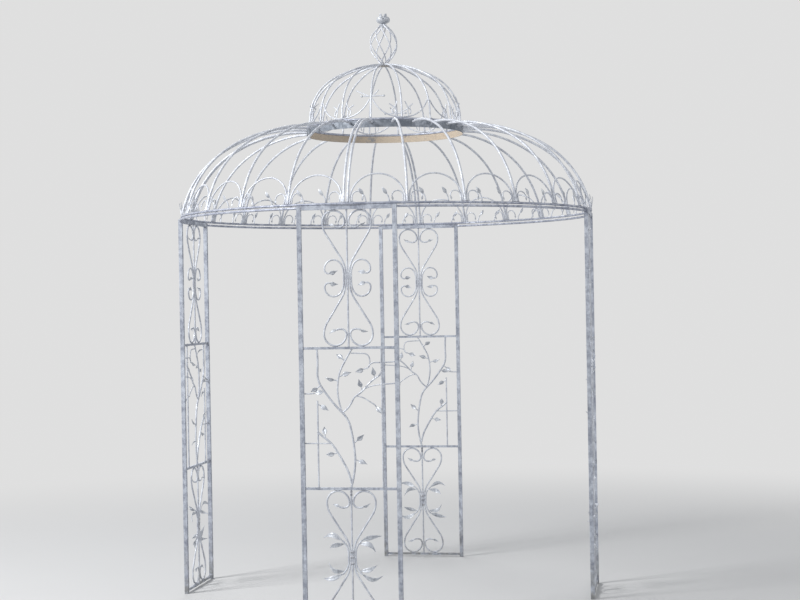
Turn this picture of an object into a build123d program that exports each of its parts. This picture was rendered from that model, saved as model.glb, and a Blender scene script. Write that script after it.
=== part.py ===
from build123d import *
import os
from math import asin, atan2, cos, degrees, hypot, pi, radians, sin, sqrt, tan

os.makedirs("parts", exist_ok=True)

# A round wrought-iron garden gazebo. The floor is Z = 0 and the axis is X = Y = 0.
# The four doorways face X and Y, the four lattice panels stand on the diagonals.
# All lengths are millimetres, all angles degrees.

# Overall layout
eaves_height = 2000.0
panel_distance = 1079.0
ring_bulge = 13.0
weld_gap = 0.3

# Panel frames: square tube posts, a square tube head and flat-topped cross rails
post_spacing = 460.0
post_size = 20.0
post_wall = 1.5
head_height = 20.0
rail_size = 12.0
bottom_rail_height = 16.0

# Scrollwork in the upper and lower sections of a panel. The lyre bars' bends are drawn for a
# section as high as the scroll sheet and stretch with the section.
scroll_sheet_height = 647.0
scroll_rod = 9.0
curl_rod = 8.0
lobe_radius = 54.0
waist_run = 21.6
waist_bend = 140.0
shoulder_bend = 105.0
hook_radius = 24.0
hook_turn = 75.0
hook_lip_radius = 44.0
hook_lip_turn = 40.0
curl_start = 20.0
curl_neck_radius = 90.0
curl_neck_turn = 30.0
curl_radius = 43.0
curl_turn = 155.0
curl_tip_radius = 19.0
curl_tip_turn = 100.0
leaf_arm_radius = 75.0
leaf_arm_turn = 52.0

# Climbing branch in the middle section
trunk_rod = 10.0
branch_rod = 8.0
twig_rod = 6.0
stile_offset = 155.0
stalk_length = 16.0

# Leaves
leaf_length = 46.0
leaf_width = 25.0
hook_leaf_length = 38.0
hook_leaf_width = 17.0
curl_leaf_length = 40.0
curl_leaf_width = 24.0
hook_leaf_twist = 35.0
curl_leaf_twist = -25.0
arm_leaf_length = 84.0
arm_leaf_width = 26.0
arm_leaf_twist = 25.0
arm_leaf_droop = 26.0
spur_leaf_length = 72.0
spur_leaf_width = 25.0
spur_leaf_twist = -25.0
spur_leaf_lift = 16.0
spur_leaf_setback = 18.0
leaf_widest_share = 0.42
leaf_thickness = 1.6

# Rings at the eaves
ring_rod = 12.0
tie_rod = 12.0
tie_setback = 4.0
tie_drop = 10.3
quarter_gap = 0.4

# Main dome
dome_rib_rod = 12.0
rib_pair_spacing = 20.0
rib_lean = 10.0
rib_shoulder_radius = 513.0
rib_shoulder_turn = 48.6
bays_per_quarter = 6
arch_rod = 8.0
arch_leg = 11.8
arch_lean = 16.5
arch_clearance = 0.8
sprig_rod = 6.0
sprig_clearance = 2.0
sprig_stem = 28.0
sprig_hook_radius = 26.0
sprig_hook_turn = 190.0
sprig_stalk_gap = 14.0
sprig_stalk_lean = -8.0
sprig_bend_radius = 60.0
sprig_bend_turn = 35.0
sprig_leaf_length = 40.0
sprig_leaf_width = 19.0
sprig_bud_length = 18.0
sprig_bud_width = 11.0

# Crown between the dome and the cupola
crown_radius = 420.0
crown_rise = 472.0
band_height = 36.0
band_thickness = 4.0
cupola_ring_rod = 12.0
rib_seat_depth = 9.0

# Cupola
cupola_rib_count = 16
cupola_rib_rod = 9.0
cupola_flare_radius = 50.0
cupola_flare_turn = 30.0
cupola_shoulder_radius = 264.0
cupola_shoulder_turn = 60.0
brace_rod = 7.0
brace_height = 105.0
brace_clearance = 0.3
fork_rod = 6.0
fork_offset = 30.0
fork_stem = 10.0
fork_bend_radius = 70.0
fork_bend_turn = 28.0
fork_arm = 36.0
fork_spread = 38.0
fork_leg_radius = 20.0
fork_leg_turn = 120.0
star_rod = 6.0
star_height = 120.0
star_long_arm = 76.0
star_side_arm = 62.0
star_short_arm = 44.0
star_rise = 26.0
star_short_rise = 52.0
hub_radius = 32.0
hub_thickness = 10.0
cupola_rise = 345.0

# Finial
cage_wire_count = 8
cage_wire = 6.5
cage_height = 216.5
cage_radius = 75.0
cage_foot_radius = 14.0
cage_neck_radius = 10.0
cage_slant = 25.0
cage_start_angle = 15.0
cage_steps = 14
blossom_radius = 37.0
blossom_height = 54.0
blossom_wall = 2.5
petal_count = 6
notch_width = 16.0
stem_length = 22.0
stem_radius = 4.0
collar_radius = 12.0
# Points of the blossom's outline and notches, as shares of its radius and height
blossom_waist = (0.74, 0.2)
blossom_belly_level = 0.6
blossom_lip_radius = 0.84
blossom_heart = (0.34, 0.24)
blossom_bud = (0.3, 0.56)
blossom_bud_level = 0.8
blossom_lining = (0.7, 0.34)
notch_start = (0.42, 0.34)

# Derived levels
crown_top = eaves_height + crown_rise
hub_top = crown_top + cupola_rise
ring_radius = panel_distance + ring_bulge
post_half = post_size / 2
head_level = eaves_height - head_height / 2
lower_rail_height = head_level / 3
middle_rail_height = 2 * lower_rail_height
ring_level = eaves_height + weld_gap + ring_rod / 2
ring_seat = ring_rod / 2 + weld_gap
cupola_ring_level = crown_top + weld_gap + cupola_ring_rod / 2
cupola_ring_radius = crown_radius - band_thickness / 2
cupola_seat = cupola_ring_rod / 2 + weld_gap
opening_width = post_spacing - post_size

panel_angles = {"front_left": -45, "front_right": 45, "rear_right": 135, "rear_left": 225}
quarter_angles = {"front": -90, "right": 0, "rear": 90, "left": 180}


def heading_vector(heading):
    """Direction in the X-Z plane, in degrees from +X towards +Z."""
    return Vector(cos(radians(heading)), 0, sin(radians(heading)))


def bend_line(start, heading, bends):
    """Adds straight runs (length, 0) and arcs (radius, turn) to the open line in the X-Z plane.

    A positive turn is to the left of the way the line goes. Each run is tangent to the last one.
    """
    point = Vector(start[0], 0, start[1])
    direction = heading_vector(heading)
    for size, turn in bends:
        if turn:
            run = JernArc(point, direction, size, turn)
        else:
            run = Line(point, point + direction * size)
        point = run @ 1
        direction = run % 1


def arc_chain(points, direction):
    """Adds a chain of tangent arcs through the points to the open line."""
    for near, far in zip(points, points[1:]):
        arc = TangentArc(near, far, tangent=direction)
        direction = arc % 1


def sweep_rod(path, diameter):
    """Adds a round bar along a wire to the open part."""
    with BuildSketch(Plane(origin=path @ 0, z_dir=path % 0)) as section:
        Circle(diameter / 2)
    sweep(section.sketch, path=path)


def add_leaf(point, direction, length, width, twist=0.0):
    """Adds a thin pointed leaf that grows from point along direction, near the X-Z plane."""
    leaf_plane = Plane(origin=point, x_dir=direction, z_dir=(0, -1, 0)).rotated((twist, 0, 0))
    with BuildSketch(leaf_plane) as blade:
        with BuildLine():
            ThreePointArc((0, 0), (leaf_widest_share * length, width / 2), (length, 0))
            ThreePointArc((length, 0), (leaf_widest_share * length, -width / 2), (0, 0))
        make_face()
    extrude(blade.sketch, amount=leaf_thickness / 2, both=True)


def leaf_seat(path):
    """Where a leaf starts, just past the end of a rod's centre line."""
    return path @ 1 + (path % 1) * weld_gap


def place_on_panels(piece, name):
    """Writes one copy of a panel piece for each of the four panels."""
    for side, angle in panel_angles.items():
        foot = Vector(0, -panel_distance, 0).rotate(Axis.Z, angle)
        with BuildPart() as placed:
            with Locations(Location(foot, (0, 0, angle))):
                add(piece.part)
        placed.part.label = f"{side}_{name}"
        export_step(placed.part, f"parts/{side}_{name}.step")


def place_on_quarters(piece, name):
    """Writes one copy of a dome piece, built about +X, for each of the four quarters."""
    for side, angle in quarter_angles.items():
        with BuildPart() as placed:
            with Locations(Location((0, 0, 0), (0, 0, angle))):
                add(piece.part)
        placed.part.label = f"{side}_{name}"
        export_step(placed.part, f"parts/{side}_{name}.step")


# Panel posts: two square tubes, open at the foot and capped at the top
with BuildPart() as panel_posts:
    with BuildSketch(Plane.XY) as post_section:
        with Locations((-post_spacing / 2, 0), (post_spacing / 2, 0)):
            Rectangle(post_size, post_size)
            Rectangle(post_size - 2 * post_wall, post_size - 2 * post_wall, mode=Mode.SUBTRACT)
    extrude(amount=eaves_height)
    with BuildSketch(Plane.XY.offset(eaves_height - post_wall)) as post_caps:
        with Locations((-post_spacing / 2, 0), (post_spacing / 2, 0)):
            Rectangle(post_size, post_size)
    extrude(amount=post_wall)
place_on_panels(panel_posts, "posts")

# Panel rails: the head between the post tops and three thinner cross rails
cross_rail_levels = (middle_rail_height, lower_rail_height, bottom_rail_height)
with BuildPart() as panel_rails:
    with BuildSketch(Plane.YZ) as head_section:
        with Locations((0, head_level)):
            Rectangle(post_size, head_height)
            Rectangle(post_size - 2 * post_wall, head_height - 2 * post_wall, mode=Mode.SUBTRACT)
    extrude(amount=opening_width / 2, both=True)
    with BuildSketch(Plane.YZ) as rail_sections:
        with Locations(*[(0, level) for level in cross_rail_levels]):
            Rectangle(rail_size, rail_size)
    extrude(amount=opening_width / 2, both=True)
place_on_panels(panel_rails, "rails")

# Sections that hold scrollwork: (lower edge, upper edge) between the faces of two rails
scroll_sections = (
    (middle_rail_height + rail_size / 2, eaves_height - head_height),
    (bottom_rail_height + rail_size / 2, lower_rail_height - rail_size / 2),
)
lyre_offset = scroll_rod + weld_gap
curl_offset = lyre_offset + (scroll_rod + curl_rod) / 2 + weld_gap


def lyre_line(section):
    """Upper half of the right-hand lyre bar: waist, slope, round lobe and inner hook."""
    low, high = section
    middle = (low + high) / 2
    stretch = (high - low) / scroll_sheet_height
    run, lower_bend, upper_bend = waist_run * stretch, waist_bend * stretch, shoulder_bend * stretch
    # The straight slope touches both bends, which are reach apart sideways and rise apart upwards
    reach = 2 * lobe_radius
    rise = high - weld_gap - scroll_rod / 2 - lobe_radius - middle - run
    bends = lower_bend + upper_bend
    slope = sqrt(rise**2 + reach**2 - 2 * bends * reach)
    lean = degrees(asin(bends / hypot(rise, bends - reach)) - atan2(bends - reach, rise))
    bend_line(
        (lyre_offset, middle),
        90,
        [
            (run, 0),
            (lower_bend, -lean),
            (slope, 0),
            (upper_bend, lean),
            (lobe_radius, 180),
            (hook_radius, hook_turn),
            (hook_lip_radius, hook_lip_turn),
        ],
    )


def curl_line(section):
    """Upper half of the right-hand C scroll beside the waist."""
    middle = sum(section) / 2
    bend_line(
        (curl_offset, middle),
        90,
        [
            (curl_start, 0),
            (curl_neck_radius, -curl_neck_turn),
            (curl_radius, -curl_turn),
            (curl_tip_radius, -curl_tip_turn),
        ],
    )


def leaf_arm_line(section):
    """Upper half of the right-hand leaf arms beside the waist."""
    middle = sum(section) / 2
    bend_line((curl_offset, middle), 90, [(curl_start, 0), (leaf_arm_radius, -leaf_arm_turn)])


# The upper section has C scrolls beside its waist, the lower section has leaf arms
section_lines = []
for section, side_line in zip(scroll_sections, (curl_line, leaf_arm_line)):
    with BuildLine(Plane.XZ) as lyre_half:
        lyre_line(section)
    with BuildLine(Plane.XZ) as side_half:
        side_line(section)
    section_lines.append((section, lyre_half.wire(), side_half.wire()))

# Panel scrolls: a centre rod, two lyre bars and the bars beside the waist, in both sections
with BuildPart() as panel_scrolls:
    for section, lyre_half, side_half in section_lines:
        low, high = section
        middle = (low + high) / 2
        for half, diameter in ((lyre_half, scroll_rod), (side_half, curl_rod)):
            upper = half.edges()
            lower = [edge.mirror(Plane.XY.offset(middle)) for edge in upper]
            whole = Wire(lower + upper)
            sweep_rod(whole, diameter)
            sweep_rod(whole.mirror(Plane.YZ), diameter)
        with BuildSketch(Plane.XY.offset(low)):
            Circle(scroll_rod / 2)
        extrude(amount=high - low)
place_on_panels(panel_scrolls, "scrolls")

# Panel vine: a branching stem welded up from rods, with stiles that carry its side branches.
# It is drawn on a sheet as large as the middle section, with points as (across, up) seen from
# outside. The sheet stretches with the section, and stems that run off it are cut at its edge.
vine_low = lower_rail_height + rail_size / 2
vine_high = middle_rail_height - rail_size / 2
vine_half_width = opening_width / 2
sheet_half_width = 220.0
sheet_height = 652.0
vine_stems = [
    (trunk_rod, 72, [
        (-2, -9), (20, 93), (21, 161), (2, 286), (-36, 353), (-95, 419), (-134, 474), (-153, 546),
        (-stile_offset, 663),
    ]),
    (branch_rod, 110, [
        (-36, 353), (-54, 421), (-57, 467), (-51, 521), (-33, 571), (20, 663),
    ]),
    (branch_rod, 30, [
        (-36, 353), (14, 410), (35, 434), (78, 471), (136, 521), (stile_offset, 563),
    ]),
    (twig_rod, 25, [
        (70, 464), (146, 484), (230, 490),
    ]),
    (twig_rod, 0, [
        (30, 430), (78, 416), (118, 391),
    ]),
    (trunk_rod, 98, [
        (2, 21), (-22, 96), (-71, 181), (-119, 231), (-stile_offset, 261),
    ]),
    (twig_rod, 0, [
        (10, 633), (72, 631), (98, 609), (99, 579), (84, 559),
    ]),
    (twig_rod, 60, [
        (92, 569), (126, 588), (230, 592),
    ]),
]
vine_rods = [
    (branch_rod, (-stile_offset, -14), (-stile_offset, 410)),
    (branch_rod, (stile_offset, -14), (stile_offset, 666)),
    (twig_rod, (-230, 208), (-92, 208)),
    (twig_rod, (-230, 443), (-188, 443)),
]
# Where stalks leave the stems, the way each leaf points and how far it is twisted
vine_leaves = [
    (20, 211, 40, 25),
    (22, 131, -20, -35),
    (-60, 163, 190, 20),
    (-119, 231, 100, -25),
    (-56, 503, 165, 40),
    (-50, 523, 20, -15),
    (-140, 481, 215, 30),
    (-stile_offset, 395, -30, -20),
    (60, 456, 100, 35),
    (118, 391, -50, -30),
    (86, 563, 200, 15),
    (-188, 443, 8, -25),
    (122, 509, 95, 30),
    (-18, 596, 140, -35),
]


def on_sheet(across, up):
    """Point of the panel's plane for a point of the vine's drawing."""
    stretch = (vine_high - vine_low) / sheet_height
    return Vector(across * vine_half_width / sheet_half_width, 0, vine_low + up * stretch)


with BuildPart() as panel_vine:
    for diameter, heading, points in vine_stems:
        with BuildLine(Plane.XZ) as stem:
            arc_chain([on_sheet(*point) for point in points], heading_vector(heading))
        sweep_rod(stem.wire(), diameter)
    for diameter, start, end in vine_rods:
        with BuildLine(Plane.XZ) as rod:
            Line(on_sheet(*start), on_sheet(*end))
        sweep_rod(rod.wire(), diameter)
    for across, up, heading, twist in vine_leaves:
        root = on_sheet(across, up)
        with BuildLine(Plane.XZ) as stalk:
            bend_line((root.X, root.Z), heading, [(stalk_length, 0)])
        sweep_rod(stalk.wire(), twig_rod)
    # The stems are cut flush with the faces of the rails and posts
    with BuildSketch(Plane.XZ) as frame_window:
        with Locations((0, (vine_low + vine_high) / 2)):
            Rectangle(2 * vine_half_width, vine_high - vine_low)
    extrude(amount=trunk_rod, both=True, mode=Mode.INTERSECT)
place_on_panels(panel_vine, "vine")

# Panel leaves: one at every scroll tip, two on every leaf arm and one on every stalk of the vine
def tip_leaf(half, length, width, twist):
    """Leaf that goes straight on from the tip of a bar: root, direction, length, width and twist."""
    return (leaf_seat(half), half % 1, length, width, twist)


def arm_leaves(section, half):
    """The long leaf at the tip of a leaf arm and the spur leaf on its inner side."""
    spur_turn = leaf_arm_turn - degrees(spur_leaf_setback / leaf_arm_radius)
    bend_centre = Vector(curl_offset + leaf_arm_radius, 0, sum(section) / 2 + curl_start)
    spur_seat = leaf_arm_radius - curl_rod / 2 - weld_gap
    long_heading = 90 - leaf_arm_turn - arm_leaf_droop
    return [
        (leaf_seat(half), heading_vector(long_heading), arm_leaf_length, arm_leaf_width, arm_leaf_twist),
        (
            bend_centre + heading_vector(180 - spur_turn) * spur_seat,
            heading_vector(spur_leaf_lift - spur_turn),
            spur_leaf_length,
            spur_leaf_width,
            spur_leaf_twist,
        ),
    ]


(upper_section, upper_lyre, upper_curl), (lower_section, lower_lyre, lower_arm) = section_lines
section_leaves = (
    (
        upper_section,
        [
            tip_leaf(upper_lyre, hook_leaf_length, hook_leaf_width, hook_leaf_twist),
            tip_leaf(upper_curl, curl_leaf_length, curl_leaf_width, curl_leaf_twist),
        ],
    ),
    (
        lower_section,
        [tip_leaf(lower_lyre, hook_leaf_length, hook_leaf_width, hook_leaf_twist)]
        + arm_leaves(lower_section, lower_arm),
    ),
)
with BuildPart() as panel_leaves:
    for section, quarter_leaves in section_leaves:
        middle = sum(section) / 2
        for root, heading, length, width, twist in quarter_leaves:
            tip = root - Vector(0, 0, middle)
            for across in (1, -1):
                for up in (1, -1):
                    add_leaf(
                        Vector(across * tip.X, 0, middle + up * tip.Z),
                        Vector(across * heading.X, 0, up * heading.Z),
                        length,
                        width,
                        across * twist,
                    )
    for across, up, heading, twist in vine_leaves:
        direction = heading_vector(heading)
        stalk_end = on_sheet(across, up) + direction * (stalk_length + weld_gap)
        add_leaf(stalk_end, direction, leaf_length, leaf_width, twist)
place_on_panels(panel_leaves, "leaves")

# Dome ribs of one quarter, bent in radial planes; the two end ribs stand parallel to the panel centres
rib_end_radius = crown_radius - dome_rib_rod / 2
rib_end_level = crown_top - rib_seat_depth
end_rib_angle = 45 - degrees(asin(rib_pair_spacing / 2 / ring_radius))
bay_angle = 2 * end_rib_angle / bays_per_quarter
with BuildLine(Plane.XZ) as rib_line:
    rib_heading = heading_vector(90 + rib_lean)
    rib_foot = Vector(ring_radius, 0, ring_level) + rib_heading * ring_seat
    shoulder = JernArc(rib_foot, rib_heading, rib_shoulder_radius, rib_shoulder_turn)
    TangentArc(shoulder @ 1, Vector(rib_end_radius, 0, rib_end_level), tangent=shoulder % 1)
with BuildPart() as rib:
    sweep_rod(rib_line.wire(), dome_rib_rod)
    with Locations((0, 0, rib_end_level)):
        Cylinder(crown_radius + weld_gap, 2 * band_height, mode=Mode.SUBTRACT)
with BuildPart() as quarter_ribs:
    for bay in range(1, bays_per_quarter):
        with Locations(Location((0, 0, 0), (0, 0, -end_rib_angle + bay * bay_angle))):
            add(rib.part)
    for turn in (-1, 1):
        shift = Vector(0, -turn * rib_pair_spacing / 2, 0).rotate(Axis.Z, turn * 45)
        with Locations(Location(shift, (0, 0, turn * 45))):
            add(rib.part)
place_on_quarters(quarter_ribs, "dome_ribs")

# Base ring of one quarter, on top of the posts
quarter_trim = degrees(quarter_gap / 2 / ring_radius)
with BuildPart() as quarter_ring:
    with BuildLine(Plane.XY.offset(ring_level)) as ring_line:
        CenterArc((0, 0), ring_radius, -45 + quarter_trim, 90 - 2 * quarter_trim)
    sweep_rod(ring_line.wire(), ring_rod)
place_on_quarters(quarter_ring, "base_ring")

# Tie bar over each doorway, cut flush at the sides of the two posts that it joins
post_side = post_spacing / 2 + post_half
tie_radius = sqrt((panel_distance - tie_setback) ** 2 + post_side**2)
tie_trim = degrees(asin(post_spacing / 2 / tie_radius))
with BuildPart() as tie_bar:
    with BuildLine(Plane.XY.offset(eaves_height - tie_drop)) as tie_line:
        CenterArc((0, 0), tie_radius, -45 + tie_trim, 90 - 2 * tie_trim)
    sweep_rod(tie_line.wire(), tie_rod)
    for end in (-1, 1):
        along = Vector(0, -end, 0).rotate(Axis.Z, end * 45)
        split(bisect_by=Plane(origin=along * (post_side + weld_gap), z_dir=along), keep=Keep.TOP)
place_on_quarters(tie_bar, "tie_bar")

# Round arches between the rib feet, each in a plane that leans in with the dome
bay_half = ring_radius * sin(radians(bay_angle / 2))
arch_half = bay_half - (dome_rib_rod + arch_rod) / 2 - arch_clearance
arch_distance = sqrt(ring_radius**2 - arch_half**2)
with BuildPart() as arch:
    with BuildLine(Plane.XZ) as arch_line:
        bend_line((arch_half, 0), 90, [(arch_leg, 0), (arch_half, 180), (arch_leg, 0)])
    sweep_rod(arch_line.wire(), arch_rod)
bay_angles = [-end_rib_angle + (bay + 0.5) * bay_angle for bay in range(bays_per_quarter)]


def leaning_seat(angle, distance, level, lean, lift):
    """Location lifted off a ring bar, whose X runs along the bar and whose Z leans towards the axis."""
    outward = Vector(1, 0, 0).rotate(Axis.Z, angle)
    along = Vector(0, 1, 0).rotate(Axis.Z, angle)
    upright = Vector(0, 0, cos(radians(lean))) - outward * sin(radians(lean))
    origin = outward * distance + Vector(0, 0, level) + upright * lift
    return Plane(origin=origin, x_dir=along, z_dir=upright).location


with BuildPart() as quarter_arches:
    for angle in bay_angles:
        with Locations(leaning_seat(angle, arch_distance, ring_level, arch_lean, ring_seat)):
            add(arch.part)
place_on_quarters(quarter_arches, "dome_arches")

# Sprigs on the base ring: in every bay a hook beside each rib foot and two stalks, all with leaves
hook_offset = arch_half - (arch_rod + sprig_rod) / 2 - sprig_clearance
stalk_offset = hook_offset - 2 * sprig_hook_radius - sprig_stalk_gap
hook_angle = degrees(asin(hook_offset / ring_radius))
stalk_angle = degrees(asin(stalk_offset / ring_radius))
with BuildPart() as hook_sprig:
    with BuildLine(Plane.XZ) as hook_line:
        bend_line((0, 0), 90, [(sprig_stem, 0), (sprig_hook_radius, sprig_hook_turn)])
    sweep_rod(hook_line.wire(), sprig_rod)
    add_leaf(leaf_seat(hook_line.wire()), hook_line.wire() % 1, sprig_bud_length, sprig_bud_width)
with BuildPart() as hook_sprig_mirrored:
    add(hook_sprig.part.mirror(Plane.YZ))
with BuildPart() as stalk_sprig:
    with BuildLine(Plane.XZ) as stalk_line:
        bend_line((0, 0), 90, [(sprig_bend_radius, sprig_bend_turn)])
    sweep_rod(stalk_line.wire(), sprig_rod)
    add_leaf(leaf_seat(stalk_line.wire()), stalk_line.wire() % 1, sprig_leaf_length, sprig_leaf_width)
with BuildPart() as quarter_sprigs:
    for angle in bay_angles:
        for piece, shift, lean in (
            (hook_sprig, hook_angle, arch_lean),
            (hook_sprig_mirrored, -hook_angle, arch_lean),
            (stalk_sprig, stalk_angle, sprig_stalk_lean),
            (stalk_sprig, -stalk_angle, sprig_stalk_lean),
        ):
            with Locations(leaning_seat(angle + shift, ring_radius, ring_level, lean, ring_seat)):
                add(piece.part)
place_on_quarters(quarter_sprigs, "ring_sprigs")

# Crown: a flat band that the ribs end on, with the cupola's base ring on top of it
with BuildPart() as crown_band:
    with BuildSketch(Plane.XY.offset(crown_top - band_height)):
        Circle(crown_radius)
        Circle(crown_radius - band_thickness, mode=Mode.SUBTRACT)
    extrude(amount=band_height)
crown_band.part.label = "crown_band"
export_step(crown_band.part, "parts/crown_band.step")

with BuildPart() as cupola_ring:
    with BuildSketch(Plane.XZ):
        with Locations((cupola_ring_radius, cupola_ring_level)):
            Circle(cupola_ring_rod / 2)
    revolve(axis=Axis.Z)
cupola_ring.part.label = "cupola_ring"
export_step(cupola_ring.part, "parts/cupola_ring.step")

# Cupola ribs, with feet that flare out and heads that meet at the hub
head_end = Vector(hub_radius - cupola_rib_rod / 2, 0, hub_top - hub_thickness / 2)
with BuildLine(Plane.XZ) as cupola_line:
    flare_heading = heading_vector(90 + cupola_flare_turn)
    foot = JernArc(
        Vector(cupola_ring_radius, 0, cupola_ring_level) + flare_heading * cupola_seat,
        flare_heading,
        cupola_flare_radius,
        -cupola_flare_turn,
    )
    side = JernArc(foot @ 1, foot % 1, cupola_shoulder_radius, cupola_shoulder_turn)
    TangentArc(side @ 1, head_end, tangent=side % 1)
with BuildPart() as cupola_rib:
    sweep_rod(cupola_line.wire(), cupola_rib_rod)
    with Locations((0, 0, head_end.Z)):
        Cylinder(hub_radius + weld_gap, 2 * hub_radius, mode=Mode.SUBTRACT)
with BuildPart() as cupola_ribs:
    with PolarLocations(0, cupola_rib_count, start_angle=45):
        add(cupola_rib.part)
cupola_ribs.part.label = "cupola_ribs"
export_step(cupola_ribs.part, "parts/cupola_ribs.step")


def cupola_rib_at(height):
    """Distance from the axis and lean of a cupola rib, at a height above the ring's centre line."""
    flare = radians(cupola_flare_turn)
    above_flare = height - cupola_seat * cos(flare) - cupola_flare_radius * sin(flare)
    lean = asin(above_flare / cupola_shoulder_radius)
    foot_in = cupola_seat * sin(flare) + cupola_flare_radius * (1 - cos(flare))
    return cupola_ring_radius - foot_in - cupola_shoulder_radius * (1 - cos(lean)), degrees(lean)


# Cupola braces: from every second rib they swing down to the ring beside the next rib
cupola_bay = 360 / cupola_rib_count
half_bay = radians(cupola_bay / 2)
beside_rib = (cupola_rib_rod + brace_rod) / 2 + brace_clearance
brace_seat = cupola_seat + brace_rod / 2
brace_foot_across = cupola_ring_radius * sin(half_bay) - beside_rib
brace_distance = sqrt(cupola_ring_radius**2 - brace_foot_across**2)
brace_rib_radius, brace_rib_lean = cupola_rib_at(brace_height)
brace_lean = degrees(atan2(brace_distance - brace_rib_radius * cos(half_bay), brace_height))
brace_foot = Vector(-brace_foot_across, 0, 0)
brace_top = Vector(
    brace_rib_radius * sin(half_bay) - beside_rib, 0, brace_height / cos(radians(brace_lean)) - brace_seat
)
with BuildPart() as brace:
    with BuildLine(Plane.XZ) as brace_line:
        TangentArc(brace_foot, brace_top, tangent=Vector(1, 0, 0))
    sweep_rod(brace_line.wire(), brace_rod)
with BuildPart() as brace_mirrored:
    add(brace.part.mirror(Plane.YZ))


def place_in_cupola_bays(piece, mirrored):
    """Adds a piece to every second bay of the cupola and its mirror image to the bays between."""
    for bay in range(cupola_rib_count):
        angle = 45 + (bay + 0.5) * cupola_bay
        with Locations(leaning_seat(angle, brace_distance, cupola_ring_level, brace_lean, brace_seat)):
            add(piece.part if bay % 2 else mirrored.part)


with BuildPart() as cupola_braces:
    place_in_cupola_bays(brace, brace_mirrored)
cupola_braces.part.label = "cupola_braces"
export_step(cupola_braces.part, "parts/cupola_braces.step")

with BuildPart() as apex_hub:
    with BuildSketch(Plane.XY.offset(hub_top - hub_thickness)):
        Circle(hub_radius)
    extrude(amount=hub_thickness)
apex_hub.part.label = "apex_hub"
export_step(apex_hub.part, "parts/apex_hub.step")


# Finial cage: wires that climb from the hub to the neck at a steady slant, round an onion shape
def cage_radius_at(height):
    """Distance of a cage wire from the axis, at a height above the foot of the cage."""
    share = height / cage_height
    end_radius = cage_foot_radius + (cage_neck_radius - cage_foot_radius) * share
    return end_radius + (cage_radius - end_radius) * sin(pi * share)


# The centre line runs a little past both ends of the wire, which is cut flush there
cage_overrun = cage_wire / 2
cage_low = hub_top + weld_gap
cage_high = cage_low + cage_height
cage_rise = (cage_height + 2 * cage_overrun) / cage_steps
cage_points = [Vector(cage_radius_at(-cage_overrun), 0, cage_low - cage_overrun)]
cage_turn = 0
for step in range(cage_steps):
    height = step * cage_rise - cage_overrun
    cage_turn -= degrees(tan(radians(cage_slant)) * cage_rise / cage_radius_at(height + cage_rise / 2))
    upright = Vector(cage_radius_at(height + cage_rise), 0, cage_low + height + cage_rise)
    cage_points.append(upright.rotate(Axis.Z, cage_turn))
with BuildPart() as cage_rod:
    with BuildLine() as cage_line:
        Spline(*cage_points)
    sweep_rod(cage_line.wire(), cage_wire)
    split(bisect_by=Plane.XY.offset(cage_low), keep=Keep.TOP)
    split(bisect_by=Plane.XY.offset(cage_high), keep=Keep.BOTTOM)
with BuildPart() as finial_cage:
    with PolarLocations(0, cage_wire_count, start_angle=cage_start_angle):
        add(cage_rod.part)
finial_cage.part.label = "finial_cage"
export_step(finial_cage.part, "parts/finial_cage.step")

# Blossom whose collar lies on the cage's wires, with a stem that stands between them
blossom_base = cage_high + weld_gap


def blossom_point(across, up):
    """Point of the blossom's outline, by its shares of the radius and the height."""
    return (across * blossom_radius, blossom_base + up * blossom_height)


widest = blossom_point(1, blossom_belly_level)
lip = blossom_point(blossom_lip_radius, 1)
heart = blossom_point(*blossom_heart)
bud_top = blossom_point(0, blossom_bud_level)
notch_foot, notch_level = blossom_point(*notch_start)
with BuildPart() as finial_blossom:
    with BuildSketch(Plane.XZ):
        with BuildLine():
            Line((0, blossom_base - stem_length), (stem_radius, blossom_base - stem_length))
            Line((stem_radius, blossom_base - stem_length), (stem_radius, blossom_base))
            Line((stem_radius, blossom_base), (collar_radius, blossom_base))
            Spline((collar_radius, blossom_base), blossom_point(*blossom_waist), widest)
            Line(widest, lip)
            Line(lip, (lip[0] - blossom_wall, lip[1]))
            Line((lip[0] - blossom_wall, lip[1]), (widest[0] - blossom_wall, widest[1]))
            Spline((widest[0] - blossom_wall, widest[1]), blossom_point(*blossom_lining), heart)
            Spline(heart, blossom_point(*blossom_bud), bud_top)
            Line(bud_top, (0, blossom_base - stem_length))
        make_face()
    revolve(axis=Axis.Z)
    with BuildSketch(Plane.YZ.offset(notch_foot)) as notch:
        with BuildLine():
            Polyline(
                (0, notch_level),
                (notch_width / 2, lip[1] + blossom_wall),
                (-notch_width / 2, lip[1] + blossom_wall),
                close=True,
            )
        make_face()
    cut = extrude(amount=blossom_radius, mode=Mode.PRIVATE)
    for petal in range(petal_count):
        with Locations(Location((0, 0, 0), (0, 0, petal * 360 / petal_count))):
            add(cut, mode=Mode.SUBTRACT)
finial_blossom.part.label = "finial_blossom"
export_step(finial_blossom.part, "parts/finial_blossom.step")

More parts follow.
